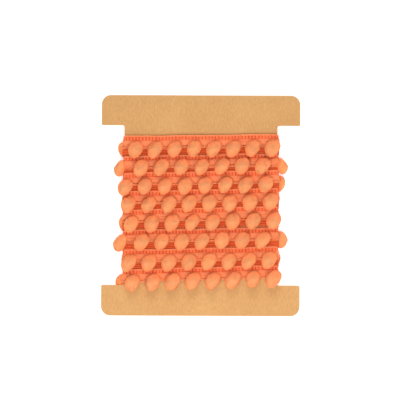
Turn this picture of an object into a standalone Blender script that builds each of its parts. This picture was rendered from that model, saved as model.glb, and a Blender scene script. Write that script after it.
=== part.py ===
"""Pompom fringe trim wound on a board card, in metres with +Z up.

The card lies on its back: its face looks up and its top edge points along +Y. The trim is one
length of header tape that runs round the narrow waist of the card in a single layer, with a
pompom fixed to its lower edge every 9 mm. The part rests on the pompoms behind the card.
"""

import math
import random
from collections import namedtuple

import bmesh
import bpy
from mathutils import Vector

MM = 0.001
UP_THE_CARD = Vector((0.0, 1.0, 0.0))

# The card, an I-shaped blank with a waist that holds the winding.
CARD_WIDTH = 90.0 * MM
CARD_HEIGHT = 100.0 * MM
CARD_THICKNESS = 1.0 * MM
WAIST_WIDTH = 69.3 * MM
TOP_FLANGE = 13.7 * MM
BOTTOM_FLANGE = 13.9 * MM
CORNER_RADIUS = 4.2 * MM
TIP_RADIUS = 0.5 * MM
NOTCH_RADIUS = 1.0 * MM

# The header tape and how it goes round the card.
TAPE_WIDTH = 5.0 * MM
TAPE_THICKNESS = 1.0 * MM
GAP = 0.3 * MM
BEND_INSET = 0.3 * MM
TAIL_LENGTH = 28.0 * MM
LAY_PITCH = 8.65 * MM
WAVE_HEIGHT = 0.15 * MM
WAVE_LENGTH = 31.0 * MM
FLAT_STEPS = 8
BEND_STEPS = 6

# One pompom: half sizes along the tape, across it and out of it, then how far its middle stands
# off the tape's outer side. Both are less at the card's edges, where the pompoms pull in. The
# root dips into the tape, and the rest of the pompom's inner side is lifted clear of it.
POMPOM_ALONG = 3.15 * MM
POMPOM_ACROSS = 3.5 * MM
POMPOM_OUT = 2.65 * MM
POMPOM_STAND = 2.3 * MM
POMPOM_SPACING = 9.09 * MM
POMPOM_LEAN = math.radians(13.0)
SIDE_OUT = 2.3 * MM
SIDE_STAND = 1.1 * MM
ROOT_DEPTH = 0.5 * MM
ROOT_HEIGHT = 0.4
LIFT = 0.35 * MM
PRESSED = 0.25 * MM
PRESSED_PINCH = 0.85
SIZE_SPREAD = 0.04
LEAN_SPREAD = math.radians(5.0)
SEGMENTS = 8
RINGS = 4
RING_LEVEL = 0.5

# Each turn across the card's face, from the top one down, in millimetres: the height of the
# tape's top edge at the left and at the right edge of the waist, the place of the leftmost
# pompom, the spacing and number of the pompoms, and how far their middles hang below that edge.
Row = namedtuple("Row", "left right first spacing count drop")
ROWS = (
    Row(left=31.5, right=32.6, first=-29.6, spacing=8.83, count=8, drop=6.1),
    Row(left=22.4, right=23.9, first=-27.1, spacing=9.15, count=7, drop=5.2),
    Row(left=14.7, right=16.4, first=-25.3, spacing=9.10, count=7, drop=6.1),
    Row(left=6.5, right=8.2, first=-32.8, spacing=9.19, count=8, drop=6.0),
    Row(left=-1.9, right=0.1, first=-31.4, spacing=9.19, count=8, drop=6.3),
    Row(left=-11.1, right=-9.5, first=-26.7, spacing=9.10, count=7, drop=5.4),
    Row(left=-20.0, right=-18.3, first=-32.4, spacing=9.04, count=8, drop=5.9),
    Row(left=-28.9, right=-26.7, first=-30.7, spacing=9.09, count=8, drop=6.3),
)

# The winding's loop, seen along Y: two flats joined by half circles round the card's edges.
HALF_FLAT = WAIST_WIDTH / 2 - BEND_INSET
BEND_RADIUS = CARD_THICKNESS / 2 + GAP + TAPE_THICKNESS / 2
FLAT = 2 * HALF_FLAT
BEND = math.pi * BEND_RADIUS
LOOP = 2 * (FLAT + BEND)
OUTER_RADIUS = BEND_RADIUS + TAPE_THICKNESS / 2
CARD_MIDDLE = OUTER_RADIUS + POMPOM_STAND + POMPOM_OUT - PRESSED
TAPE_START = -(BEND + TAIL_LENGTH)
TAPE_END = (len(ROWS) - 1) * LOOP + FLAT + BEND + TAIL_LENGTH


def clear_scene():
    """Remove whatever the new scene holds."""
    for thing in list(bpy.data.objects):
        bpy.data.objects.remove(thing, do_unlink=True)


def new_collection(name):
    """Add a collection to the scene."""
    collection = bpy.data.collections.new(name)
    bpy.context.scene.collection.children.link(collection)
    return collection


def finish_material(name, color, roughness):
    """Make a plain matt material."""
    material = bpy.data.materials.new(name)
    material.use_nodes = True
    shader = material.node_tree.nodes["Principled BSDF"]
    shader.inputs["Base Color"].default_value = (*color, 1.0)
    shader.inputs["Roughness"].default_value = roughness
    shader.inputs["Metallic"].default_value = 0.0
    return material


def rounded_outline(corners):
    """Return the points of a closed outline, with each (x, y, radius, steps) corner rounded."""
    points = []
    for index, (x, y, radius, steps) in enumerate(corners):
        corner = Vector((x, y))
        before = (Vector(corners[index - 1][:2]) - corner).normalized()
        after = (Vector(corners[(index + 1) % len(corners)][:2]) - corner).normalized()
        center = corner + (before + after) * radius
        start = -after
        stop = -before
        for step in range(steps + 1):
            angle = math.pi / 2 * step / steps
            points.append(center + (start * math.cos(angle) + stop * math.sin(angle)) * radius)
    return points


def card_corners():
    """List the card's corners anticlockwise, from the bottom right one."""
    side = CARD_WIDTH / 2
    end = CARD_HEIGHT / 2
    waist = WAIST_WIDTH / 2
    notch_top = end - TOP_FLANGE
    notch_bottom = BOTTOM_FLANGE - end
    right = (
        (side, -end, CORNER_RADIUS, 6),
        (side, notch_bottom, TIP_RADIUS, 2),
        (waist, notch_bottom, NOTCH_RADIUS, 3),
        (waist, notch_top, NOTCH_RADIUS, 3),
        (side, notch_top, TIP_RADIUS, 2),
        (side, end, CORNER_RADIUS, 6),
    )
    left = tuple((-x, y, radius, steps) for x, y, radius, steps in reversed(right))
    return right + left


def make_card(collection):
    """Cut the card as a flat outline with its thickness."""
    curve = bpy.data.curves.new("card", "CURVE")
    curve.dimensions = "2D"
    curve.fill_mode = "BOTH"
    curve.extrude = CARD_THICKNESS / 2
    outline = rounded_outline(card_corners())
    spline = curve.splines.new("POLY")
    spline.points.add(len(outline) - 1)
    for point, place in zip(spline.points, outline):
        point.co = (place.x, place.y, 0.0, 1.0)
    spline.use_cyclic_u = True
    card = bpy.data.objects.new("card", curve)
    card.location.z = CARD_MIDDLE
    curve.materials.append(finish_material("kraft_board", (0.79, 0.46, 0.19), 0.85))
    collection.objects.link(card)
    return card


def loop_place(distance):
    """Return the middle of the tape and its outward normal, this far along the winding.

    The distance is 0 at the right end of the first turn's front, and grows to the left over
    the front, round the left edge, to the right over the back and round the right edge.
    """
    around = distance % LOOP
    if around < FLAT:
        return Vector((HALF_FLAT - around, 0.0, BEND_RADIUS)), Vector((0.0, 0.0, 1.0))
    if around < FLAT + BEND:
        angle = (around - FLAT) / BEND_RADIUS
        normal = Vector((-math.sin(angle), 0.0, math.cos(angle)))
        return Vector((-HALF_FLAT, 0.0, 0.0)) + normal * BEND_RADIUS, normal
    if around < 2 * FLAT + BEND:
        passed = around - FLAT - BEND
        return Vector((passed - HALF_FLAT, 0.0, -BEND_RADIUS)), Vector((0.0, 0.0, -1.0))
    angle = (around - 2 * FLAT - BEND) / BEND_RADIUS
    normal = Vector((math.sin(angle), 0.0, -math.cos(angle)))
    return Vector((HALF_FLAT, 0.0, 0.0)) + normal * BEND_RADIUS, normal


def on_back(distance):
    """Tell whether the tape lies flat behind the card at this distance."""
    around = distance % LOOP
    return FLAT + BEND <= around < 2 * FLAT + BEND


def edge_heights(turn):
    """Return the tape's top edge at the left of a turn and at the right of the next turn."""
    if turn < 0:
        return ROWS[0].left * MM + LAY_PITCH, ROWS[0].right * MM
    left = ROWS[turn].left * MM
    if turn + 1 < len(ROWS):
        return left, ROWS[turn + 1].right * MM
    return left, ROWS[turn].right * MM - LAY_PITCH


def top_edge(distance):
    """Return the height on the card of the tape's top edge, this far along the winding."""
    turn = math.floor(distance / LOOP)
    around = distance - turn * LOOP
    left, next_right = edge_heights(turn)
    if around < FLAT:
        right = ROWS[turn].right * MM
        height = right + (left - right) * around / FLAT
    else:
        passed = min(max(around - FLAT - BEND, 0.0), FLAT)
        height = left + (next_right - left) * passed / FLAT
    return height + WAVE_HEIGHT * math.sin(distance / WAVE_LENGTH * math.tau)


def tape_stations():
    """Return the distances at which the tape gets a line across it."""
    stations = {TAPE_START, TAPE_END}
    spans = ((0.0, FLAT, FLAT_STEPS), (FLAT, BEND, BEND_STEPS))
    spans += tuple((start + LOOP / 2, length, steps) for start, length, steps in spans)
    for turn in range(-1, len(ROWS)):
        for start, length, steps in spans:
            for step in range(steps):
                distance = turn * LOOP + start + length * step / steps
                if TAPE_START < distance < TAPE_END:
                    stations.add(distance)
    return sorted(stations)


def make_tape(collection):
    """Lay the header tape as a folded strip and give it its thickness."""
    strip = bmesh.new()
    edges = []
    last = None
    for distance in tape_stations():
        place, _ = loop_place(distance)
        place += Vector((0.0, top_edge(distance), CARD_MIDDLE))
        vertex = strip.verts.new(place)
        if last is not None:
            edges.append(strip.edges.new((last, vertex)))
        last = vertex
    pulled = bmesh.ops.extrude_edge_only(strip, edges=edges)
    lower = [item for item in pulled["geom"] if isinstance(item, bmesh.types.BMVert)]
    bmesh.ops.translate(strip, verts=lower, vec=(0.0, -TAPE_WIDTH, 0.0))
    bmesh.ops.recalc_face_normals(strip, faces=strip.faces)
    mesh = bpy.data.meshes.new("pompom_trim")
    strip.to_mesh(mesh)
    strip.free()
    tape = bpy.data.objects.new("pompom_trim", mesh)
    mesh.materials.append(finish_material("coral_yarn", (0.90, 0.31, 0.13), 0.9))
    collection.objects.link(tape)
    wall = tape.modifiers.new("thickness", "SOLIDIFY")
    wall.thickness = TAPE_THICKNESS
    wall.offset = 0.0
    wall.use_even_offset = True
    return tape


def row_distances(turn):
    """Return the places of one turn's front pompoms, from right to left."""
    row = ROWS[turn]
    places = [(row.first + row.spacing * index) * MM for index in range(row.count)]
    return [turn * LOOP + HALF_FLAT - place for place in reversed(places)]


def pompom_distances():
    """Return where the pompoms sit: the front ones as listed, the others evenly between."""
    places = []
    for turn in range(len(ROWS)):
        front = row_distances(turn)
        if places:
            start = places[-1]
            count = round((front[0] - start) / POMPOM_SPACING)
            places += [start + (front[0] - start) * step / count for step in range(1, count)]
        places += front
    while places[0] - POMPOM_SPACING > TAPE_START + POMPOM_ALONG:
        places.insert(0, places[0] - POMPOM_SPACING)
    while places[-1] + POMPOM_SPACING < TAPE_END - POMPOM_ALONG:
        places.append(places[-1] + POMPOM_SPACING)
    return places


def pompom_drop(distance):
    """Return how far a pompom's middle hangs below the tape's top edge."""
    turn = distance / LOOP
    lower = min(max(math.floor(turn), 0), len(ROWS) - 1)
    upper = min(lower + 1, len(ROWS) - 1)
    passed = min(max((turn - lower) * 2 - 1, 0.0), 1.0)
    return (ROWS[lower].drop + (ROWS[upper].drop - ROWS[lower].drop) * passed) * MM


def add_pompom(mesh, distance, chance):
    """Shape one pompom from a ball, rooted in the tape's lower half."""
    place, normal = loop_place(distance)
    along = normal.cross(UP_THE_CARD)
    side = abs(normal.x)
    half_out = POMPOM_OUT + (SIDE_OUT - POMPOM_OUT) * side
    stand = POMPOM_STAND + (SIDE_STAND - POMPOM_STAND) * side
    size = 1.0 + chance.uniform(-SIZE_SPREAD, SIZE_SPREAD)
    slant = math.tan(POMPOM_LEAN + chance.uniform(-LEAN_SPREAD, LEAN_SPREAD))
    root = place + normal * (TAPE_THICKNESS / 2)
    root += UP_THE_CARD * (top_edge(distance) - pompom_drop(distance))
    root.z += CARD_MIDDLE
    pressed = on_back(distance)
    ball = bmesh.ops.create_uvsphere(mesh, u_segments=SEGMENTS, v_segments=RINGS, radius=1.0)
    for vertex in ball["verts"]:
        step, up, out = vertex.co
        outer_ring = out > RING_LEVEL
        inner_ring = out < -RING_LEVEL
        pinch = PRESSED_PINCH if pressed and outer_ring else 1.0
        rise = up * POMPOM_ACROSS * size * pinch
        shift = step * POMPOM_ALONG * size * pinch - rise * slant
        reach = max(stand + out * half_out * size, LIFT)
        if inner_ring and up > ROOT_HEIGHT:
            reach = -ROOT_DEPTH
        vertex.co = root + along * shift + UP_THE_CARD * rise + normal * reach
        if pressed and outer_ring:
            vertex.co.z = 0.0
        vertex.co.z = max(vertex.co.z, 0.0)


def make_pompoms(collection):
    """Make every pompom in one mesh, to be joined to the tape."""
    mesh = bmesh.new()
    chance = random.Random(8)
    for distance in pompom_distances():
        add_pompom(mesh, distance, chance)
    bmesh.ops.recalc_face_normals(mesh, faces=mesh.faces)
    data = bpy.data.meshes.new("pompom_shapes")
    mesh.to_mesh(data)
    mesh.free()
    pompoms = bpy.data.objects.new("pompom_shapes", data)
    pompoms.hide_render = True
    pompoms.display_type = "WIRE"
    collection.objects.link(pompoms)
    return pompoms


def main():
    clear_scene()
    parts = new_collection("pompom_trim_on_card")
    shapes = new_collection("joined_shapes")
    make_card(parts)
    tape = make_tape(parts)
    join = tape.modifiers.new("pompoms", "BOOLEAN")
    join.operation = "UNION"
    join.solver = "EXACT"
    join.object = make_pompoms(shapes)


main()
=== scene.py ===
"""Looks for a length of pompom fringe trim wound on a kraft card.

The trim's yarns are modelled flat, as they come off the machine, and are then wound round the
card. In the flat, X runs along the trim, Y up from its lower edge to its top edge, and Z stands
out of its face. The card lies on its back with its face up. All sizes are in metres.
"""

import math
import random
from collections import namedtuple

import bmesh
import bpy
import numpy as np
from mathutils import Matrix, Vector


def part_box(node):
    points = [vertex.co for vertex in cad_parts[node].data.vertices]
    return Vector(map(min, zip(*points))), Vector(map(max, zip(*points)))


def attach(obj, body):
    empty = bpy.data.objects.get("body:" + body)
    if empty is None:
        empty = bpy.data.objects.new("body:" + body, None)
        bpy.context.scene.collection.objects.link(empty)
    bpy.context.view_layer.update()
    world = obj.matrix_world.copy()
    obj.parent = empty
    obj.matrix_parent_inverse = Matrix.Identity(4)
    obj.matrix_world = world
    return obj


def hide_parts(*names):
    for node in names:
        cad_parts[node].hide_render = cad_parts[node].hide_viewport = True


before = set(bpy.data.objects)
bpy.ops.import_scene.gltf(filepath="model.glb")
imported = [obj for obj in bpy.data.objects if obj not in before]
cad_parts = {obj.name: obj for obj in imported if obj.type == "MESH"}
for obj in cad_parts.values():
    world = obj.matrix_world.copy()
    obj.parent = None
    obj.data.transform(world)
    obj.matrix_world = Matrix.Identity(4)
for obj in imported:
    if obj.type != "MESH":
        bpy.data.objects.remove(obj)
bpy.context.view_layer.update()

MM = 0.001
UP_THE_CARD = Vector((0.0, 1.0, 0.0))

# The card.
CARD_LOW, CARD_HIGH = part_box("card")
CARD_MIDDLE = (CARD_LOW.z + CARD_HIGH.z) / 2
CARD_THICKNESS = CARD_HIGH.z - CARD_LOW.z
WAIST_WIDTH = 69.3 * MM
TOP_FLANGE = 13.7 * MM
BOTTOM_FLANGE = 13.9 * MM
CORNER_RADIUS = 4.2 * MM
TIP_RADIUS = 0.5 * MM
NOTCH_RADIUS = 1.0 * MM
CORNER_STEPS = 10
TIP_STEPS = 3
NOTCH_STEPS = 4
RIM_ROUND = 0.1 * MM
RIM_WEAR = 0.35 * MM
RIM_ANGLE = math.radians(60.0)
SMOOTH_ANGLE = math.radians(20.0)
CUT_FACE_SLOPE = 0.3
SAME_LENGTH = 0.02 * MM

# The header tape and how it goes round the card. At a bend its upper edge pulls in and dips, and
# what stands out of it is squeezed.
TAPE_WIDTH = 5.0 * MM
TAPE_THICKNESS = 1.0 * MM
GAP = 0.3 * MM
BEND_INSET = 0.3 * MM
BEND_PULL = 0.85 * MM
BEND_SQUEEZE = 0.4
BEND_DIP = 0.35 * MM
TAIL_LENGTH = 28.0 * MM
LAY_PITCH = 8.65 * MM
WAVE_HEIGHT = 0.15 * MM
WAVE_LENGTH = 31.0 * MM

# One pompom: half sizes along the tape, across it and out of it, and how far its middle stands
# off the tape. Both reaches out of the tape are less at the card's edges. It leans on the front,
# and hangs lower than its row's drop by the sag.
POMPOM_ALONG = 3.3 * MM
POMPOM_ACROSS = 3.8 * MM
POMPOM_OUT = 2.65 * MM
POMPOM_STAND = 2.3 * MM
POMPOM_SPACING = 9.09 * MM
POMPOM_LEAN = math.radians(13.0)
POMPOM_SAG = 0.4 * MM
SIDE_OUT = 2.6 * MM
SIDE_STAND = 0.85 * MM
SIZE_SPREAD = 0.04
LEAN_SPREAD = math.radians(5.0)
SHAPE_SEED = 8
TURN_SEED = 3

# Pile that would go below the surface is pressed up to this height, and more gently above it.
PRESSED_HEIGHT = 0.02 * MM
PRESS_SOFTNESS = 0.35 * MM
PRESS_DEPTH = PRESS_SOFTNESS / 6

# The turns, counted from 0, whose first pompom behind the left edge sits nearer to the front
# than even spacing would put it, and by how much.
EARLY_POMPOMS = {4: 2.0 * MM, 7: 1.7 * MM}

# Each turn across the card's face, from the top one down, in millimetres: the height of the
# tape's top edge at the left and at the right edge of the waist, the place of the leftmost
# pompom, the spacing and number of the pompoms, and how far their middles hang below that edge.
Row = namedtuple("Row", "left right first spacing count drop")
ROWS = (
    Row(left=31.5, right=32.6, first=-29.6, spacing=8.83, count=8, drop=6.1),
    Row(left=22.4, right=23.9, first=-27.1, spacing=9.15, count=7, drop=5.2),
    Row(left=14.7, right=16.4, first=-25.3, spacing=9.10, count=7, drop=6.1),
    Row(left=6.5, right=8.2, first=-32.8, spacing=9.19, count=8, drop=6.0),
    Row(left=-1.9, right=0.1, first=-31.4, spacing=9.19, count=8, drop=6.3),
    Row(left=-11.1, right=-9.5, first=-26.7, spacing=9.10, count=7, drop=5.4),
    Row(left=-20.0, right=-18.3, first=-32.4, spacing=9.04, count=8, drop=5.9),
    Row(left=-28.9, right=-26.7, first=-30.7, spacing=9.09, count=8, drop=5.8),
)

# The winding's loop, seen along Y: two flats joined by half circles round the card's edges.
HALF_FLAT = WAIST_WIDTH / 2 - BEND_INSET
BEND_RADIUS = CARD_THICKNESS / 2 + GAP + TAPE_THICKNESS / 2
FLAT = 2 * HALF_FLAT
BEND = math.pi * BEND_RADIUS
LOOP = 2 * (FLAT + BEND)
TAPE_START = -(BEND + TAIL_LENGTH)
TAPE_END = (len(ROWS) - 1) * LOOP + FLAT + BEND + TAIL_LENGTH
TAPE_LENGTH = TAPE_END - TAPE_START

# The yarns of the header, in the flat. The paths of the yarns are in millimetres.
STITCH_IN_MM = 1.5
STITCH = STITCH_IN_MM * MM
STITCHES = int(TAPE_LENGTH / STITCH)
GROUND_MARGIN = 0.2 * MM
GROUND_THICKNESS = 0.25 * MM
GROUND_OUT = -0.22 * MM
WEFT_DIAMETER = 0.58 * MM
CHAIN_DIAMETER = 0.3 * MM
LAID_DIAMETER = 0.42 * MM
SHADE_THREAD_DIAMETER = 0.32 * MM
FRINGE_DIAMETER = 0.4 * MM
JOIN_REACH = 0.01 * MM

# The inner layer, seen only in the gaps of the outer one. Its deep tone is painted shade.
INNER_START = -(BEND + 20.0 * MM)
INNER_END = 6 * LOOP + FLAT + BEND + 25.0 * MM
INNER_STEP = 0.75 * MM
INNER_DIAMETER = 0.42 * MM
INNER_THREAD_DIAMETER = 0.32 * MM

# The pompoms' pile, as shares of a ball of radius 1.
POMPOM_KINDS = 6
CORE_SIZE = 1.0
LUMP_SIZE = 0.5
LUMP_HEIGHT = 0.07
TUFT_SPREAD = 0.025
FIBRES = 620
FIBRE_WIDTH = 0.045
FIBRE_ROOT = 0.9
FIBRE_TIP = 1.07
FIBRE_TIP_SPREAD = 0.03
FIBRE_SCATTER = 0.03
FIBRE_LEAN = 0.12

# The pile turns pale from this radius outwards, over this reach, and no paler than the most. It is
# so in full at the crown only, the side facing out from the card. From this depth below the ball's
# middle, this share of it is left. The paler crown and the deeper, redder sides are painted light.
PALE_ROOT = 0.84
PALE_REACH = 0.29
PALE_MOST = 0.8
PAINTED_CROWN_DEPTH = 0.1
PAINTED_SIDE_PALE = 0.4

# A pompom is egg-shaped: how much broader it is at the header, and how much lower it lies there.
TOP_BROADER = 0.15
TOP_LOWER = 0.4


def deselect_all():
    """Leave object mode with nothing selected."""
    if bpy.context.object and bpy.context.object.mode != "OBJECT":
        bpy.ops.object.mode_set(mode="OBJECT")
    bpy.ops.object.select_all(action="DESELECT")


def take(piece):
    """Make a piece the only selected one."""
    deselect_all()
    piece.select_set(True)
    bpy.context.view_layer.objects.active = piece


def apply_modifiers(piece):
    """Apply all of a piece's modifiers in order."""
    take(piece)
    for modifier in list(piece.modifiers):
        bpy.ops.object.modifier_apply(modifier=modifier.name)


def settle(piece):
    """Put a piece's place in its mesh, with its object at the origin."""
    take(piece)
    bpy.ops.object.transform_apply(location=True, rotation=True, scale=True)


def mesh_points(piece):
    """Return a mesh's points as an array."""
    points = np.empty(len(piece.data.vertices) * 3)
    piece.data.vertices.foreach_get("co", points)
    return points.reshape(-1, 3)


def move_points(piece, points):
    """Put a mesh's points at these places."""
    piece.data.vertices.foreach_set("co", np.asarray(points, dtype=np.float32).ravel())
    piece.data.update()


def select_in_edit(piece, kind, chosen):
    """Enter edit mode with only the chosen vertices, edges or faces selected."""
    take(piece)
    bpy.ops.object.mode_set(mode="EDIT")
    bpy.ops.mesh.select_mode(type=kind)
    bpy.ops.mesh.select_all(action="DESELECT")
    bpy.ops.object.mode_set(mode="OBJECT")
    elements = {"VERT": piece.data.vertices, "EDGE": piece.data.edges, "FACE": piece.data.polygons}
    for element in elements[kind]:
        element.select = bool(chosen(element))
    bpy.ops.object.mode_set(mode="EDIT")


# The winding.


def edge_heights(turn):
    """Return the tape's top edge at the left of a turn and at the right of the next turn."""
    if turn < 0:
        return ROWS[0].left * MM + LAY_PITCH, ROWS[0].right * MM
    left = ROWS[turn].left * MM
    if turn + 1 < len(ROWS):
        return left, ROWS[turn + 1].right * MM
    return left, ROWS[turn].right * MM - LAY_PITCH


def height_knots():
    """Return distances along the winding and the height of the tape's top edge at each."""
    distances = []
    heights = []
    for turn in range(-1, len(ROWS)):
        left, next_right = edge_heights(turn)
        start = turn * LOOP
        distances += [start + FLAT, start + FLAT + BEND, start + 2 * FLAT + BEND, start + LOOP]
        heights += [left, left, next_right, next_right]
    return distances, heights


KNOTS = height_knots()


def top_edge(distance):
    """Return the height on the card of the tape's top edge, this far along the winding."""
    wave = WAVE_HEIGHT * np.sin(np.asarray(distance) / WAVE_LENGTH * math.tau)
    return np.interp(distance, *KNOTS) + wave


def loop_place(distance):
    """Return the bend axis's X and the turned angle, this far along the winding."""
    around = np.asarray(distance) % LOOP
    ends = (0.0, FLAT, FLAT + BEND, 2 * FLAT + BEND, LOOP)
    axis = np.interp(around, ends, (HALF_FLAT, -HALF_FLAT, -HALF_FLAT, HALF_FLAT, HALF_FLAT))
    turned = np.interp(around, ends, (0.0, 0.0, math.pi, math.pi, math.tau))
    return axis, turned


def wind(piece):
    """Wind a flat piece round the card. The winding mirrors it, so its faces are turned back."""
    along, up, out = mesh_points(piece).T
    axis, turned = loop_place(along)
    bent = np.abs(np.sin(turned))
    high = np.clip(up / TAPE_WIDTH, 0.0, 1.0)
    radius = BEND_RADIUS + out * (1.0 - BEND_SQUEEZE * bent)
    across = axis - (radius - BEND_PULL * high) * np.sin(turned)
    height = top_edge(along) - TAPE_WIDTH + up - BEND_DIP * high * bent
    depth = CARD_MIDDLE + radius * np.cos(turned)
    move_points(piece, np.column_stack((across, height, depth)))
    piece.data.flip_normals()


def row_distances(turn):
    """Return the places of one turn's front pompoms, from right to left."""
    row = ROWS[turn]
    places = [(row.first + row.spacing * index) * MM for index in range(row.count)]
    return [turn * LOOP + HALF_FLAT - place for place in reversed(places)]


def pompom_distances():
    """Return where the pompoms sit: the front ones as listed, the others evenly between."""
    places = []
    for turn in range(len(ROWS)):
        front = row_distances(turn)
        if places:
            start = places[-1]
            count = round((front[0] - start) / POMPOM_SPACING)
            places += [start + (front[0] - start) * step / count for step in range(1, count)]
        places += front
    while places[0] - POMPOM_SPACING > TAPE_START + POMPOM_ALONG:
        places.insert(0, places[0] - POMPOM_SPACING)
    while places[-1] + POMPOM_SPACING < TAPE_END - POMPOM_ALONG:
        places.append(places[-1] + POMPOM_SPACING)
    for turn, early in EARLY_POMPOMS.items():
        places[places.index(row_distances(turn)[-1]) + 1] -= early
    return places


def pompom_drop(distance):
    """Return how far a pompom's middle hangs below the top edge. It changes behind the card."""
    turn = distance / LOOP
    lower = min(max(math.floor(turn), 0), len(ROWS) - 1)
    upper = min(lower + 1, len(ROWS) - 1)
    passed = min(max((turn - lower) * 2 - 1, 0.0), 1.0)
    return (ROWS[lower].drop + (ROWS[upper].drop - ROWS[lower].drop) * passed) * MM


# Materials.


def new_material(name, roughness):
    """Start a material and return it with its nodes, links and shader."""
    material = bpy.data.materials.new(name)
    material.use_nodes = True
    tree = material.node_tree
    shader = tree.nodes["Principled BSDF"]
    shader.inputs["Roughness"].default_value = roughness
    shader.inputs["Specular IOR Level"].default_value = 0.2
    return material, tree, shader


def add_node(tree, kind, **settings):
    """Add a node with its sockets or properties set."""
    node = tree.nodes.new(kind)
    for name, value in settings.items():
        label = name.replace("_", " ").title()
        if label in node.inputs:
            node.inputs[label].default_value = value
        else:
            setattr(node, name, value)
    return node


def color_ramp(tree, source, stops):
    """Turn a value into a color through a ramp."""
    ramp = tree.nodes.new("ShaderNodeValToRGB")
    elements = ramp.color_ramp.elements
    while len(elements) < len(stops):
        elements.new(0.5)
    for element, (position, color) in zip(elements, stops):
        element.position = position
        element.color = (*color, 1.0)
    tree.links.new(source, ramp.inputs["Fac"])
    return ramp.outputs["Color"]


def noise(tree, coordinates, scale, detail, roughness):
    """Add a noise texture on these coordinates."""
    node = add_node(tree, "ShaderNodeTexNoise", scale=scale, detail=detail, roughness=roughness)
    tree.links.new(coordinates, node.inputs["Vector"])
    return node.outputs["Fac"]


def mix_colors(tree, share, first, second, blend="MIX"):
    """Mix two colors, each a socket or a plain color, by a share that is a socket or a number."""
    mix = add_node(tree, "ShaderNodeMix", data_type="RGBA", blend_type=blend)
    for socket, value in ((mix.inputs[0], share), (mix.inputs[6], first), (mix.inputs[7], second)):
        if isinstance(value, bpy.types.NodeSocket):
            tree.links.new(value, socket)
        elif isinstance(value, tuple):
            socket.default_value = (*value, 1.0)
        else:
            socket.default_value = value
    return mix.outputs[2]


def add_bump(tree, shader, height, strength, distance):
    """Raise the surface by a height value."""
    bump = add_node(tree, "ShaderNodeBump", strength=strength, distance=distance)
    tree.links.new(height, bump.inputs["Height"])
    tree.links.new(bump.outputs["Normal"], shader.inputs["Normal"])


def object_coordinates(tree, stretch=(1.0, 1.0, 1.0)):
    """Return Object coordinates, stretched along the axes."""
    source = tree.nodes.new("ShaderNodeTexCoord")
    mapping = tree.nodes.new("ShaderNodeMapping")
    mapping.inputs["Scale"].default_value = stretch
    tree.links.new(source.outputs["Object"], mapping.inputs["Vector"])
    return mapping.outputs["Vector"]


def board_material():
    """Brown kraft board: a mottled, faintly fibrous matt face with sparse flecks and worn rims."""
    material, tree, shader = new_material("kraft_board", 0.82)
    place = object_coordinates(tree)
    clouds = noise(tree, place, scale=70.0, detail=4.0, roughness=0.6)
    base = color_ramp(tree, clouds, ((0.3, (0.57, 0.304, 0.115)), (0.7, (0.615, 0.337, 0.133))))
    grain = object_coordinates(tree, (1.0, 0.22, 1.0))
    fibres = noise(tree, grain, scale=2600.0, detail=3.0, roughness=0.65)
    fibre_tone = color_ramp(tree, fibres, ((0.35, (0.90, 0.88, 0.85)), (0.65, (1.05, 1.06, 1.08))))
    toned = mix_colors(tree, 1.0, base, fibre_tone, "MULTIPLY")
    specks = noise(tree, place, scale=900.0, detail=2.0, roughness=0.4)
    speck_share = color_ramp(tree, specks, ((0.69, (0.0, 0.0, 0.0)), (0.75, (0.35, 0.35, 0.35))))
    flecked = mix_colors(tree, speck_share, toned, (0.32, 0.15, 0.05))
    wear = tree.nodes.new("ShaderNodeAttribute")
    wear.attribute_name = "rim"
    worn = mix_colors(tree, 0.35, flecked, (0.64, 0.39, 0.18))
    color = mix_colors(tree, wear.outputs["Fac"], flecked, worn)
    tree.links.new(color, shader.inputs["Base Color"])
    add_bump(tree, shader, fibres, strength=0.35, distance=0.04 * MM)
    return material


def cut_edge_material():
    """The board's cut edge: paler, with its plies as thin lines."""
    material, tree, shader = new_material("kraft_cut_edge", 0.9)
    place = object_coordinates(tree, (0.15, 0.15, 6.0))
    plies = noise(tree, place, scale=900.0, detail=2.0, roughness=0.5)
    color = color_ramp(tree, plies, ((0.35, (0.52, 0.27, 0.10)), (0.65, (0.78, 0.46, 0.20))))
    tree.links.new(color, shader.inputs["Base Color"])
    add_bump(tree, shader, plies, strength=0.6, distance=0.06 * MM)
    return material


def soften(shader, sheen, depth, share):
    """Give yarn its sheen, and let this share of the light pass so deep into it."""
    shader.inputs["Sheen Weight"].default_value = sheen
    shader.inputs["Sheen Roughness"].default_value = 0.5
    shader.inputs["Sheen Tint"].default_value = (1.0, 0.35, 0.16, 1.0)
    shader.subsurface_method = "BURLEY"
    shader.inputs["Subsurface Weight"].default_value = share
    shader.inputs["Subsurface Radius"].default_value = (1.0, 0.4, 0.2)
    shader.inputs["Subsurface Scale"].default_value = depth


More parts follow.
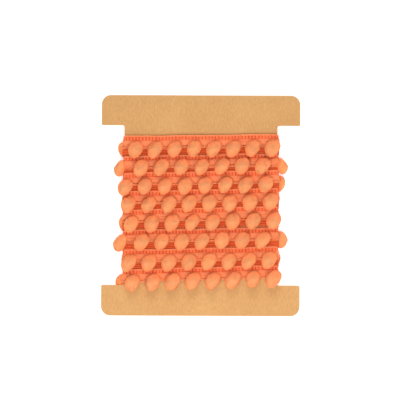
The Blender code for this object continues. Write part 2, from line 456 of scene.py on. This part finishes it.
def pile_material():
    """Cut pile: deep coral at the roots of the tufts and pale coral at their tips. Through the pile
    attribute it also carries painted light: a paler crown and deeper, redder sides.
    """
    material, tree, shader = new_material("coral_pile", 0.95)
    shader.inputs["Specular IOR Level"].default_value = 0.1
    soften(shader, sheen=0.5, depth=3.0 * MM, share=1.0)
    place = object_coordinates(tree)
    pile = tree.nodes.new("ShaderNodeAttribute")
    pile.attribute_name = "pile"
    stops = ((0.0, (1.0, 0.27, 0.098)), (1.0, (0.44, 0.27, 0.127)))
    color = color_ramp(tree, pile.outputs["Fac"], stops)
    patches = noise(tree, place, scale=420.0, detail=2.0, roughness=0.5)
    tone = color_ramp(tree, patches, ((0.3, (0.95, 0.94, 0.93)), (0.7, (1.02, 1.03, 1.04))))
    toned = mix_colors(tree, 1.0, color, tone, "MULTIPLY")
    hairs = noise(tree, place, scale=5200.0, detail=2.0, roughness=0.6)
    grain = color_ramp(tree, hairs, ((0.35, (0.90, 0.82, 0.77)), (0.65, (1.08, 1.15, 1.19))))
    tree.links.new(mix_colors(tree, 1.0, toned, grain, "MULTIPLY"), shader.inputs["Base Color"])
    ends = add_node(tree, "ShaderNodeTexVoronoi", scale=4200.0)
    tree.links.new(place, ends.inputs["Vector"])
    add_bump(tree, shader, ends.outputs["Distance"], strength=-0.6, distance=0.1 * MM)
    return material


def yarn_material(name, dark, light):
    """Matt yarn: fine hairs in two tones."""
    material, tree, shader = new_material(name, 0.85)
    soften(shader, sheen=0.3, depth=0.8 * MM, share=0.35)
    hairs = noise(tree, object_coordinates(tree), scale=4200.0, detail=3.0, roughness=0.6)
    color = color_ramp(tree, hairs, ((0.3, dark), (0.7, light)))
    tree.links.new(color, shader.inputs["Base Color"])
    add_bump(tree, shader, hairs, strength=0.5, distance=0.06 * MM)
    return material


def floor_material():
    """A white sweep, bright enough to leave no grey round the object."""
    material, tree, shader = new_material("white_sweep", 0.9)
    shader.inputs["Base Color"].default_value = (0.8, 0.8, 0.8, 1.0)
    shader.inputs["Emission Color"].default_value = (1.0, 1.0, 1.0, 1.0)
    shader.inputs["Emission Strength"].default_value = 0.6
    return material


# The card.


def near(value, target):
    """Tell whether two lengths are the same, but for rounding."""
    return abs(value - target) < SAME_LENGTH


def bevel_posts(card, x, y, radius, steps):
    """Round the two upright corners that stand at plus and minus x and at y."""
    def chosen(edge):
        low, high = (card.data.vertices[index].co for index in edge.vertices)
        upright = near(low.x, high.x) and near(low.y, high.y)
        return upright and near(abs(low.x), x) and near(low.y, y)

    select_in_edit(card, "EDGE", chosen)
    bpy.ops.mesh.bevel(offset=radius, segments=steps, affect="EDGES")
    bpy.ops.object.mode_set(mode="OBJECT")


def make_card():
    """Die-cut the card from a sheet of board and round its corners and rims."""
    side = CARD_HIGH.x
    end = CARD_HIGH.y
    waist = WAIST_WIDTH / 2
    notch_top = end - TOP_FLANGE
    notch_bottom = BOTTOM_FLANGE - end
    deselect_all()
    bpy.ops.mesh.primitive_plane_add(size=1.0, location=(0.0, 0.0, CARD_LOW.z))
    card = bpy.context.object
    card.name = "kraft_card"
    card.scale = (2 * side, 2 * end, 1.0)
    settle(card)
    cuts = (
        ((waist, 0.0, 0.0), (1.0, 0.0, 0.0)),
        ((-waist, 0.0, 0.0), (1.0, 0.0, 0.0)),
        ((0.0, notch_top, 0.0), (0.0, 1.0, 0.0)),
        ((0.0, notch_bottom, 0.0), (0.0, 1.0, 0.0)),
    )
    for place, normal in cuts:
        bpy.ops.object.mode_set(mode="EDIT")
        bpy.ops.mesh.select_all(action="SELECT")
        bpy.ops.mesh.bisect(plane_co=place, plane_no=normal)
        bpy.ops.object.mode_set(mode="OBJECT")

    def in_a_notch(face):
        return abs(face.center.x) > waist and abs(face.center.y) < end / 2

    select_in_edit(card, "FACE", in_a_notch)
    bpy.ops.mesh.delete(type="FACE")
    bpy.ops.mesh.select_all(action="SELECT")
    bpy.ops.mesh.dissolve_limited(angle_limit=math.radians(1.0))
    bpy.ops.mesh.select_all(action="SELECT")
    bpy.ops.mesh.extrude_region_move(TRANSFORM_OT_translate={"value": (0.0, 0.0, CARD_THICKNESS)})
    bpy.ops.mesh.select_all(action="SELECT")
    bpy.ops.mesh.normals_make_consistent(inside=False)
    bpy.ops.object.mode_set(mode="OBJECT")
    bevel_posts(card, side, end, CORNER_RADIUS, CORNER_STEPS)
    bevel_posts(card, side, -end, CORNER_RADIUS, CORNER_STEPS)
    for y in (notch_top, notch_bottom):
        bevel_posts(card, side, y, TIP_RADIUS, TIP_STEPS)
        bevel_posts(card, waist, y, NOTCH_RADIUS, NOTCH_STEPS)
    rim = card.modifiers.new("rim", "BEVEL")
    rim.width = RIM_ROUND
    rim.segments = 2
    rim.limit_method = "ANGLE"
    rim.angle_limit = RIM_ANGLE
    apply_modifiers(card)
    flat_level = CARD_THICKNESS / 2 - RIM_ROUND / 10
    select_in_edit(card, "FACE", lambda face: abs(face.center.z - CARD_MIDDLE) > flat_level)
    bpy.ops.mesh.inset(thickness=RIM_WEAR)
    bpy.ops.object.mode_set(mode="OBJECT")
    inner = {index for face in card.data.polygons if face.select for index in face.vertices}
    worn = card.data.attributes.new("rim", "FLOAT", "POINT")
    for vertex in card.data.vertices:
        worn.data[vertex.index].value = 0.0 if vertex.index in inner else 1.0
    card.data.materials.append(board_material())
    card.data.materials.append(cut_edge_material())
    for face in card.data.polygons:
        face.material_index = 1 if abs(face.normal.z) < CUT_FACE_SLOPE else 0
    take(card)
    bpy.ops.object.shade_smooth_by_angle(angle=SMOOTH_ANGLE)
    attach(card, "root")
    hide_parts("card")


# The header's yarns, flat.


def yarn_piece(name, points, diameter, cyclic=False, steps=2):
    """Lay one yarn through these points, in millimetres, with so many steps between them."""
    deselect_all()
    bpy.ops.curve.primitive_nurbs_path_add()
    yarn = bpy.context.object
    yarn.name = name
    curve = yarn.data
    curve.splines.clear()
    spline = curve.splines.new("NURBS")
    spline.points.add(len(points) - 1)
    for point, (along, up, out) in zip(spline.points, points):
        point.co = (along * MM, up * MM, out * MM, 1.0)
    spline.use_cyclic_u = cyclic
    spline.use_endpoint_u = not cyclic
    spline.order_u = 3
    spline.resolution_u = steps
    curve.resolution_u = steps
    curve.bevel_depth = diameter / 2
    curve.bevel_resolution = 0
    curve.use_fill_caps = False
    take(yarn)
    bpy.ops.object.convert(target="MESH")
    return yarn


def repeat_along(piece, step, count, start=TAPE_START):
    """Repeat a flat piece along the trim, from this start, and join what meets."""
    array = piece.modifiers.new("repeat", "ARRAY")
    array.count = count
    array.use_relative_offset = False
    array.use_constant_offset = True
    array.constant_offset_displace = (step, 0.0, 0.0)
    array.use_merge_vertices = True
    array.merge_threshold = JOIN_REACH
    apply_modifiers(piece)
    points = mesh_points(piece)
    points[:, 0] += start
    move_points(piece, points)


def unsettle(piece, seed, height, spread, length, sway=0.0):
    """Let a flat yarn wander a little, up or down, in or out and sideways, over this length."""
    points = mesh_points(piece)
    chance = np.random.default_rng(seed)
    knots = np.arange(TAPE_START - length, TAPE_END + 2 * length, length)
    for column, reach in ((1, height), (2, spread), (0, sway)):
        drift = chance.normal(0.0, reach, len(knots))
        points[:, column] += np.interp(points[:, 0], knots, drift)
    move_points(piece, points)


def finish_yarn(piece, material):
    """Wind a yarn on the card, smooth it and give it its finish."""
    wind(piece)
    take(piece)
    bpy.ops.object.shade_smooth()
    piece.data.materials.clear()
    piece.data.materials.append(material)
    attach(piece, "root")
    return piece


def make_ground(material):
    """The header's ground: a thin closed band under the yarns. Its deeper tone is painted shade in
    the gaps of the weft.
    """
    deselect_all()
    bpy.ops.mesh.primitive_cube_add(size=1.0)
    ground = bpy.context.object
    ground.name = "header_ground"
    ground.scale = (STITCH / 2, TAPE_WIDTH - 2 * GROUND_MARGIN, GROUND_THICKNESS)
    ground.location = (STITCH / 4, TAPE_WIDTH / 2, GROUND_OUT)
    settle(ground)
    select_in_edit(ground, "FACE", lambda face: abs(face.normal.x) > abs(face.normal.z))
    bpy.ops.mesh.delete(type="FACE")
    bpy.ops.object.mode_set(mode="OBJECT")
    repeat_along(ground, STITCH / 2, 2 * STITCHES)
    take(ground)
    bpy.ops.object.mode_set(mode="EDIT")
    bpy.ops.mesh.select_all(action="SELECT")
    bpy.ops.mesh.fill_holes(sides=4)
    bpy.ops.object.mode_set(mode="OBJECT")
    return finish_yarn(ground, material)


# One repeat of the weft yarn, in millimetres: up across the header, over the top edge, down
# beside itself, and along the lower edge to the next repeat.
WEFT_PATH = (
    (0.0, 0.22, -0.02),
    (0.24, 0.30, 0.06),
    (0.30, 1.30, 0.14),
    (0.32, 3.00, 0.12),
    (0.33, 4.60, 0.10),
    (0.57, 4.90, 0.02),
    (0.80, 4.60, 0.10),
    (0.80, 3.00, 0.12),
    (0.78, 1.30, 0.14),
    (0.90, 0.30, 0.06),
    (1.50, 0.22, -0.02),
)

# One chain stitch: a loop that starts inside the one before it. Below it are the heights of the
# three rows and how far out they lie.
CHAIN_LOOP = (
    (-0.20, 0.0, 0.00),
    (0.25, 0.26, 0.10),
    (1.05, 0.24, 0.13),
    (1.60, 0.0, 0.16),
    (1.05, -0.24, 0.13),
    (0.25, -0.26, 0.10),
)
CHAIN_HEIGHTS = (4.62, 2.4, 0.5)
CHAIN_OUT = 0.36

# The laid threads: their heights, and how far out they lie at a stitch's end and middle.
LAID_HEIGHTS = (1.95, 1.52, 1.08)
LAID_OUT = (0.40, 0.44)

# A dark thread laid over the weft below its upper loops: painted shade for the groove there.
SHADE_THREAD_HEIGHT = 2.95
SHADE_THREAD_OUT = 0.3

# The loose threads below the header, which cross each other between the pompoms: the height of
# each at a stitch's end and middle.
FRINGE_HEIGHTS = ((-0.2, -0.55), (-0.9, -0.55))
FRINGE_OUT = 0.16

# One repeat of the inner layer's yarn, and the heights and depth of the threads laid over it.
INNER_PATH = (
    (0.0, -4.5, -0.56),
    (0.03, -2.0, -0.54),
    (0.09, 0.80, -0.56),
    (0.29, 0.80, -0.56),
    (0.35, -2.0, -0.54),
    (0.46, -4.5, -0.56),
    (0.75, -4.5, -0.56),
)
INNER_THREAD_HEIGHTS = (-1.5, -2.45, -3.4)
INNER_THREAD_RISE = 0.1
INNER_THREAD_OUT = -0.25


def make_weft(material):
    """The weft yarn, which runs up and down across the whole header."""
    weft = yarn_piece("weft_yarn", WEFT_PATH, WEFT_DIAMETER, steps=1)
    repeat_along(weft, STITCH, STITCHES)
    unsettle(weft, seed=11, height=0.05 * MM, spread=0.03 * MM, length=4.0 * MM)
    unsettle(weft, seed=12, height=0.0, spread=0.02 * MM, length=STITCH / 2, sway=0.07 * MM)
    finish_yarn(weft, material)


def make_chains(material):
    """The chain stitches that hold the weft, in three rows along the header."""
    for number, height in enumerate(CHAIN_HEIGHTS, 1):
        loop = [(along, height + up, CHAIN_OUT + out) for along, up, out in CHAIN_LOOP]
        chain = yarn_piece(f"chain_row_{number}", loop, CHAIN_DIAMETER, cyclic=True)
        repeat_along(chain, STITCH, STITCHES)
        unsettle(chain, seed=20 + number, height=0.06 * MM, spread=0.02 * MM, length=6.0 * MM)
        finish_yarn(chain, material)


def lay_thread(name, heights, depths, diameter, count=STITCHES, start=TAPE_START):
    """Lay a thread along the trim, from its heights and depths at a stitch's end and middle."""
    end = (heights[0], depths[0])
    path = [(0.0, *end), (STITCH_IN_MM / 2, heights[1], depths[1]), (STITCH_IN_MM, *end)]
    thread = yarn_piece(name, path, diameter)
    repeat_along(thread, STITCH, count, start)
    return thread


def make_laid_threads(material):
    """The straight threads laid along the header's lower half."""
    for number, height in enumerate(LAID_HEIGHTS, 1):
        thread = lay_thread(f"laid_thread_{number}", (height, height), LAID_OUT, LAID_DIAMETER)
        unsettle(thread, seed=30 + number, height=0.06 * MM, spread=0.03 * MM, length=5.0 * MM)
        finish_yarn(thread, material)


def make_groove_shade_thread(material):
    """A dark thread laid over the weft along the header: painted shade for a groove."""
    heights = (SHADE_THREAD_HEIGHT, SHADE_THREAD_HEIGHT)
    thread = lay_thread("groove_shade_thread", heights, (SHADE_THREAD_OUT, SHADE_THREAD_OUT), SHADE_THREAD_DIAMETER)
    unsettle(thread, seed=61, height=0.06 * MM, spread=0.05 * MM, length=2.0 * MM)
    finish_yarn(thread, material)


def make_fringe_threads(material):
    """The loose threads along the header's lower edge, which carry the pompoms."""
    depths = (FRINGE_OUT, FRINGE_OUT)
    for number, heights in enumerate(FRINGE_HEIGHTS, 1):
        thread = lay_thread(f"fringe_thread_{number}", heights, depths, FRINGE_DIAMETER)
        unsettle(thread, seed=50 + number, height=0.1 * MM, spread=0.05 * MM, length=2.5 * MM)
        finish_yarn(thread, material)


def make_inner_layer(shaded_yarn_finish, shaded_thread_finish):
    """The yarns of the layer beneath, which fill the gaps between the rows, in deep tones that
    paint the shade there.
    """
    count = int((INNER_END - INNER_START) / INNER_STEP)
    yarns = yarn_piece("inner_yarns", INNER_PATH, INNER_DIAMETER, steps=1)
    repeat_along(yarns, INNER_STEP, count, INNER_START)
    unsettle(yarns, seed=41, height=0.05 * MM, spread=0.02 * MM, length=3.0 * MM)
    finish_yarn(yarns, shaded_yarn_finish)
    depths = (INNER_THREAD_OUT, INNER_THREAD_OUT)
    for number, height in enumerate(INNER_THREAD_HEIGHTS, 1):
        name = f"inner_shaded_thread_{number}"
        heights = (height, height + INNER_THREAD_RISE)
        thread = lay_thread(name, heights, depths, INNER_THREAD_DIAMETER, count // 2, INNER_START)
        unsettle(thread, seed=40 + number, height=0.12 * MM, spread=0.02 * MM, length=4.0 * MM)
        finish_yarn(thread, shaded_thread_finish)


# The pompoms.


def fibre_points(kind):
    """Return the points of every fibre of one kind of pompom: three at its root, one at its tip."""
    chance = np.random.default_rng(100 + kind)
    number = np.arange(FIBRES) + 0.5
    height = 1 - 2 * number / FIBRES
    turn = number * math.pi * (3 - math.sqrt(5))
    ring = np.sqrt(1 - height ** 2)
    outward = np.column_stack((ring * np.cos(turn), ring * np.sin(turn), height))
    outward += chance.normal(0.0, FIBRE_SCATTER, outward.shape)
    outward /= np.linalg.norm(outward, axis=1, keepdims=True)
    lean = chance.normal(0.0, FIBRE_LEAN, outward.shape)
    reach = FIBRE_TIP + chance.normal(0.0, FIBRE_TIP_SPREAD, (FIBRES, 1))
    tips = outward + lean
    tips *= reach / np.linalg.norm(tips, axis=1, keepdims=True)
    across = np.cross(outward, chance.normal(size=outward.shape))
    across /= np.linalg.norm(across, axis=1, keepdims=True)
    beside = np.cross(outward, across)
    corners = []
    for step in range(3):
        angle = math.tau * step / 3
        offset = (across * math.cos(angle) + beside * math.sin(angle)) * FIBRE_WIDTH
        corners.append(outward * FIBRE_ROOT + offset)
    return np.stack((*corners, tips), axis=1)


def add_fibres(ball, kind):
    """Stand thin tapering fibres in a ball's pile, and mark their tips in its pile attribute."""
    model = bmesh.new()
    model.from_mesh(ball.data)
    pile = model.verts.layers.float["pile"]
    for points in fibre_points(kind):
        corners = [model.verts.new(point) for point in points]
        corners[3][pile] = 1.0
        for first, second, third in ((0, 2, 1), (0, 1, 3), (1, 2, 3), (2, 0, 3)):
            model.faces.new((corners[first], corners[second], corners[third]))
    model.to_mesh(ball.data)
    model.free()


def model_pompom(kind):
    """Model one kind of pompom as a ball of radius 1, with its pile standing out all over."""
    deselect_all()
    place = (4.0 * kind, 0.0, 0.0)
    bpy.ops.mesh.primitive_ico_sphere_add(subdivisions=4, radius=CORE_SIZE, location=place)
    ball = bpy.context.object
    ball.name = f"pompom_kind_{kind}"
    clouds = bpy.data.textures.new(f"lumps_{kind}", "CLOUDS")
    clouds.noise_scale = LUMP_SIZE
    lumps = ball.modifiers.new("lumps", "DISPLACE")
    lumps.texture = clouds
    lumps.texture_coords = "GLOBAL"
    lumps.strength = LUMP_HEIGHT
    apply_modifiers(ball)
    ball.location = (0.0, 0.0, 0.0)
    settle(ball)
    bpy.ops.object.mode_set(mode="EDIT")
    bpy.ops.mesh.select_all(action="SELECT")
    bpy.ops.transform.vertex_random(offset=TUFT_SPREAD, uniform=0.5, normal=0.5, seed=kind)
    bpy.ops.object.mode_set(mode="OBJECT")
    pile = ball.data.attributes.new("pile", "FLOAT", "POINT")
    reach = np.linalg.norm(mesh_points(ball), axis=1)
    pale = np.clip((reach - PALE_ROOT) / PALE_REACH, 0.0, PALE_MOST)
    pile.data.foreach_set("value", pale.astype(np.float32))
    add_fibres(ball, kind)
    bpy.ops.object.shade_smooth()
    return ball


def spread_top(points):
    """Broaden a ball towards the header that it is tied to, and let it slope down to it."""
    along, up, out = points.T
    along = along * (1.0 + TOP_BROADER * up)
    out = (out + 1.0) * (1.0 - TOP_LOWER * np.clip(up, 0.0, 1.0)) - 1.0
    return np.column_stack((along, up, out))


def copy_out(kinds, name, places):
    """Join copies of the kinds, each turned and put in its place by a matrix, in one mesh."""
    points = []
    corners = []
    pile = []
    count = 0
    for kind, turn, matrix in places:
        mesh = kinds[kind].data
        own = spread_top(mesh_points(kinds[kind]) @ np.array(turn).T)
        placed = own @ np.array(matrix.to_3x3()).T + np.array(matrix.translation)
        points.append(press_flat(placed))
        own_corners = np.empty(len(mesh.loops), np.int32)
        mesh.loops.foreach_get("vertex_index", own_corners)
        corners.append(own_corners + count)
        own_pile = np.empty(len(own), np.float32)
        mesh.attributes["pile"].data.foreach_get("value", own_pile)
        # Painted light: the pile is kept paler towards the crown, which faces out from the card,
        # and deeper and redder on the sides.
        crown = np.clip(own[:, 2] + PAINTED_CROWN_DEPTH, 0.0, 1.0)
        pile.append(own_pile * (PAINTED_SIDE_PALE + (1.0 - PAINTED_SIDE_PALE) * crown))
        count += len(own)
    points = np.concatenate(points)
    corners = np.concatenate(corners)
    mesh = bpy.data.meshes.new(name)
    mesh.vertices.add(len(points))
    mesh.vertices.foreach_set("co", points.astype(np.float32).ravel())
    mesh.loops.add(len(corners))
    mesh.loops.foreach_set("vertex_index", corners)
    mesh.polygons.add(len(corners) // 3)
    mesh.polygons.foreach_set("loop_start", np.arange(0, len(corners), 3, dtype=np.int32))
    mesh.update(calc_edges=True)
    pile = np.concatenate(pile).astype(np.float32)
    mesh.attributes.new("pile", "FLOAT", "POINT").data.foreach_set("value", pile)
    piece = bpy.data.objects.new(name, mesh)
    bpy.context.scene.collection.objects.link(piece)
    take(piece)
    bpy.ops.object.shade_smooth()
    return piece


def press_flat(points):
    """Flatten what would go below the surface that the pompom lies on."""
    height = points[:, 2]
    lifted = (height + np.sqrt(height ** 2 + PRESS_SOFTNESS ** 2)) / 2
    points[:, 2] = np.maximum(lifted - PRESS_DEPTH, PRESSED_HEIGHT)
    return points


def pompom_matrix(distance, chance):
    """Return the matrix that shapes a ball of radius 1 and puts it in a pompom's place."""
    axis, turned = (float(value) for value in loop_place(distance))
    normal = Vector((-math.sin(turned), 0.0, math.cos(turned)))
    along = normal.cross(UP_THE_CARD)
    side = abs(normal.x)
    half_out = POMPOM_OUT + (SIDE_OUT - POMPOM_OUT) * side
    stand = POMPOM_STAND + (SIDE_STAND - POMPOM_STAND) * side
    size = 1.0 + chance.uniform(-SIZE_SPREAD, SIZE_SPREAD)
    lean = POMPOM_LEAN * (1.0 + normal.z) / 2
    slant = math.tan(lean + chance.uniform(-LEAN_SPREAD, LEAN_SPREAD))
    middle = Vector((axis, 0.0, CARD_MIDDLE))
    middle += normal * (BEND_RADIUS + TAPE_THICKNESS / 2 + stand)
    middle += UP_THE_CARD * (float(top_edge(distance)) - pompom_drop(distance) - POMPOM_SAG)
    shape = Matrix((
        along * POMPOM_ALONG * size,
        (UP_THE_CARD - along * slant) * POMPOM_ACROSS * size,
        normal * half_out * size,
    )).transposed().to_4x4()
    return Matrix.Translation(middle) @ shape


def any_turn(turner):
    """Return a rotation that shows any side of a ball."""
    spin = Matrix.Rotation(turner.uniform(0.0, math.tau), 3, "Z")
    return spin @ Matrix.Rotation(turner.uniform(0.0, math.pi), 3, "X")


def make_pompoms():
    """Make every pompom, one piece for each turn of the trim."""
    material = pile_material()
    kinds = [model_pompom(kind) for kind in range(POMPOM_KINDS)]
    chance = random.Random(SHAPE_SEED)
    turner = random.Random(TURN_SEED)
    turns = {}
    for distance in pompom_distances():
        turn = min(max(math.floor(distance / LOOP), 0), len(ROWS) - 1)
        place = (turner.randrange(POMPOM_KINDS), any_turn(turner), pompom_matrix(distance, chance))
        turns.setdefault(turn, []).append(place)
    pieces = []
    for turn, places in turns.items():
        piece = copy_out(kinds, f"pompoms_turn_{turn + 1}", places)
        piece.data.materials.append(material)
        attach(piece, "root")
        pieces.append(piece)
    for ball in kinds:
        bpy.data.objects.remove(ball, do_unlink=True)
    return pieces


# The studio. The picture is square, and its side and the card's middle in it are in pixels.

PHOTO_SIDE = 400
MM_PER_PIXEL = 0.4533
CARD_CENTER_PIXEL = (200.7, 205.7)
CAMERA_LENS = 200.0
SENSOR_WIDTH = 36.0
CAMERA_ROLL = math.radians(0.25)
FLOOR_SIZE = 6.0
FLOOR_LEVEL = -0.02 * MM
DOME_STRENGTH = 0.38
LAMP_COLOR = (1.0, 0.99, 0.97)

Softbox = namedtuple("Softbox", "name place size power")
SOFTBOXES = (
    Softbox(name="key", place=(0.0, -0.11, 0.31), size=0.16, power=0.70),
    Softbox(name="above", place=(0.0, 0.85, 0.85), size=0.7, power=5.9),
    Softbox(name="below", place=(0.0, -0.95, 0.62), size=0.7, power=2.8),
)


def make_camera():
    """Look straight down on the card from afar, framed as in the photograph."""
    field = PHOTO_SIDE * MM_PER_PIXEL * MM
    distance = field / 2 / (SENSOR_WIDTH / 2 / CAMERA_LENS)
    data = bpy.data.cameras.new("camera")
    data.lens = CAMERA_LENS
    data.sensor_width = SENSOR_WIDTH
    data.clip_start = 0.01
    data.clip_end = 10.0
    camera = bpy.data.objects.new("camera", data)
    bpy.context.scene.collection.objects.link(camera)
    right = (PHOTO_SIDE / 2 - CARD_CENTER_PIXEL[0]) * MM_PER_PIXEL * MM
    up = (CARD_CENTER_PIXEL[1] - PHOTO_SIDE / 2) * MM_PER_PIXEL * MM
    camera.location = (right, up, CARD_HIGH.z + distance)
    camera.rotation_euler = (0.0, 0.0, CAMERA_ROLL)
    bpy.context.scene.camera = camera


def add_softbox(box):
    """Add a square softbox that faces the card's middle."""
    data = bpy.data.lights.new(box.name, "AREA")
    data.shape = "SQUARE"
    data.size = box.size
    data.energy = box.power
    data.color = LAMP_COLOR
    light = bpy.data.objects.new(box.name, data)
    light.location = box.place
    light.visible_camera = False
    light.rotation_euler = (-Vector(box.place)).to_track_quat("-Z", "Y").to_euler()
    bpy.context.scene.collection.objects.link(light)


def make_studio():
    """White sweep, even dome light and three softboxes: over the card and beyond both its ends."""
    deselect_all()
    bpy.ops.mesh.primitive_plane_add(size=FLOOR_SIZE, location=(0.0, 0.0, FLOOR_LEVEL))
    floor = bpy.context.object
    floor.name = "floor"
    floor.data.materials.append(floor_material())
    world = bpy.data.worlds.new("dome")
    bpy.context.scene.world = world
    world.use_nodes = True
    background = world.node_tree.nodes["Background"]
    background.inputs["Color"].default_value = (1.0, 1.0, 1.0, 1.0)
    background.inputs["Strength"].default_value = DOME_STRENGTH
    for box in SOFTBOXES:
        add_softbox(box)
    bpy.context.scene.view_settings.view_transform = "Standard"


def main():
    """Build every piece and the studio."""
    make_camera()
    make_card()
    # Painted shade: the inner layer's yarn and thread are far deeper copies of the coral yarn.
    inner_shade_finish = yarn_material("inner_yarn", (0.58, 0.066, 0.013), (0.67, 0.10, 0.024))
    shaded_thread_finish = yarn_material("inner_shaded_thread", (0.80, 0.13, 0.035), (0.88, 0.18, 0.055))
    # Painted shade: the ground gets a deeper copy of the coral yarn, also used for the thread that
    # paints the groove.
    ground_shade_finish = yarn_material("ground_yarn_painted_shade", (0.85, 0.14, 0.044), (0.91, 0.18, 0.062))
    weft_finish = yarn_material("weft_yarn", (0.91, 0.18, 0.064), (0.94, 0.265, 0.108))
    header_finish = yarn_material("header_yarn", (0.95, 0.25, 0.096), (0.97, 0.37, 0.166))
    # Painted light: the edge yarn on the chains and laid threads is a lighter copy of the header
    # yarn.
    edge_light_finish = yarn_material("edge_yarn_painted_light", (0.95, 0.265, 0.104), (0.97, 0.385, 0.175))
    make_inner_layer(inner_shade_finish, shaded_thread_finish)
    ground = make_ground(ground_shade_finish)
    make_weft(weft_finish)
    make_chains(edge_light_finish)
    make_groove_shade_thread(ground_shade_finish)
    make_laid_threads(edge_light_finish)
    make_fringe_threads(header_finish)
    pompoms = make_pompoms()
    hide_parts("pompom_trim")
    make_studio()


main()
